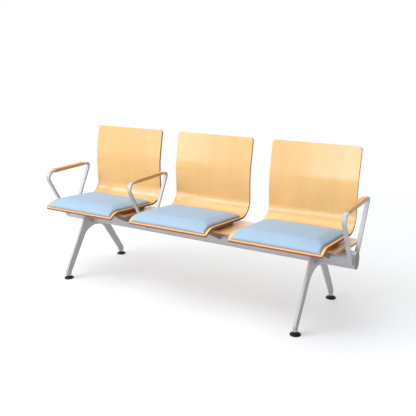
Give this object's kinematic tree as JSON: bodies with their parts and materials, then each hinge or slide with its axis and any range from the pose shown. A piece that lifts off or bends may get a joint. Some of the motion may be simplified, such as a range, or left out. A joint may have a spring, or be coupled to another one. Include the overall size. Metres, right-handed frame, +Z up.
{
  "type": "beam seating",
  "caption": "Moulded plywood seats with vinyl pads on an oval steel beam, with A-shaped legs on levelling glides, wood-topped arm loops and plywood infill panels",
  "frame": {"origin": "on the floor, under the middle of the beam and midway between the four glides", "axes": "+X along the beam to a sitting person's left, -Y the way the seats face, +Z up"},
  "size_m": [1.718, 0.506, 0.78],
  "materials": {
    "shell_veneer": "lacquered beech veneer over moulded plies",
    "pad_board": "raw thin plywood",
    "pad_vinyl": "light blue vinyl, soft sheen",
    "arm_wood": "lacquered beech",
    "panel_veneer": "lacquered beech veneer",
    "beam_coat": "silver powder coat",
    "leg_coat": "silver powder coat on a casting",
    "arm_coat": "silver powder coat",
    "bracket_coat": "grey powder coat",
    "cap_plastic": "grey moulded plastic",
    "glide_plastic": "black moulded plastic, slight sheen",
    "glide_steel": "zinc-plated steel",
    "insert_brass": "turned brass",
    "fastener_steel": "zinc-plated steel"
  },
  "bodies": {
    "bench": {"arm_loop_left": "arm_coat", "arm_loop_middle": "arm_coat", "arm_loop_right": "arm_coat", "arm_pad_left": "arm_wood", "arm_pad_middle": "arm_wood", "arm_pad_right": "arm_wood", "arm_pad_screws": "fastener_steel", "beam": "beam_coat", "beam_end_cap_left": "cap_plastic", "beam_end_cap_right": "cap_plastic", "beam_rivet_nuts": "fastener_steel", "bracket_bolts": "fastener_steel", "infill_panel_between_2_3": "panel_veneer", "infill_panel_left_of_seat_1": "panel_veneer", "infill_panel_left_of_seat_2": "panel_veneer", "infill_panel_right_of_seat_1": "panel_veneer", "infill_panel_right_of_seat_3": "panel_veneer", "infill_panel_screws": "fastener_steel", "leg_left": "leg_coat", "leg_lock_screws": "fastener_steel", "leg_right": "leg_coat", "leg_tip_inserts": "insert_brass", "leg_tip_pins": "fastener_steel", "seat_bracket_1_left": "bracket_coat", "seat_bracket_1_right": "bracket_coat", "seat_bracket_2_left": "bracket_coat", "seat_bracket_2_right": "bracket_coat", "seat_bracket_3_left": "bracket_coat", "seat_bracket_3_right": "bracket_coat", "seat_pad_1": "pad_vinyl", "seat_pad_2": "pad_vinyl", "seat_pad_3": "pad_vinyl", "seat_pad_board_1": "pad_board", "seat_pad_board_2": "pad_board", "seat_pad_board_3": "pad_board", "seat_pad_screws": "fastener_steel", "seat_shell_1": "shell_veneer", "seat_shell_2": "shell_veneer", "seat_shell_3": "shell_veneer", "seat_shell_bolts": "fastener_steel", "seat_shell_nuts": "fastener_steel"},
    "stem_front_left": {"glide_stem_front_left": "glide_steel"},
    "foot_front_left": {"glide_foot_front_left": "glide_plastic"},
    "stem_rear_left": {"glide_stem_rear_left": "glide_steel"},
    "foot_rear_left": {"glide_foot_rear_left": "glide_plastic"},
    "stem_front_right": {"glide_stem_front_right": "glide_steel"},
    "foot_front_right": {"glide_foot_front_right": "glide_plastic"},
    "stem_rear_right": {"glide_stem_rear_right": "glide_steel"},
    "foot_rear_right": {"glide_foot_rear_right": "glide_plastic"}
  },
  "joints": [
    {"name": "height_front_left", "type": "slide", "parent": "bench", "child": "stem_front_left", "axis": [0, 0, -1], "range_m": [0, 0.012]},
    {"name": "swivel_front_left", "type": "hinge", "parent": "stem_front_left", "child": "foot_front_left", "pos_m": [-0.669, -0.228, 0], "axis": [0, 0, 1], "continuous": true},
    {"name": "height_rear_left", "type": "slide", "parent": "bench", "child": "stem_rear_left", "axis": [0, 0, -1], "range_m": [0, 0.012]},
    {"name": "swivel_rear_left", "type": "hinge", "parent": "stem_rear_left", "child": "foot_rear_left", "pos_m": [-0.669, 0.228, 0], "axis": [0, 0, 1], "continuous": true},
    {"name": "height_front_right", "type": "slide", "parent": "bench", "child": "stem_front_right", "axis": [0, 0, -1], "range_m": [0, 0.012]},
    {"name": "swivel_front_right", "type": "hinge", "parent": "stem_front_right", "child": "foot_front_right", "pos_m": [0.669, -0.228, 0], "axis": [0, 0, 1], "continuous": true},
    {"name": "height_rear_right", "type": "slide", "parent": "bench", "child": "stem_rear_right", "axis": [0, 0, -1], "range_m": [0, 0.012]},
    {"name": "swivel_rear_right", "type": "hinge", "parent": "stem_rear_right", "child": "foot_rear_right", "pos_m": [0.669, 0.228, 0], "axis": [0, 0, 1], "continuous": true}
  ]
}
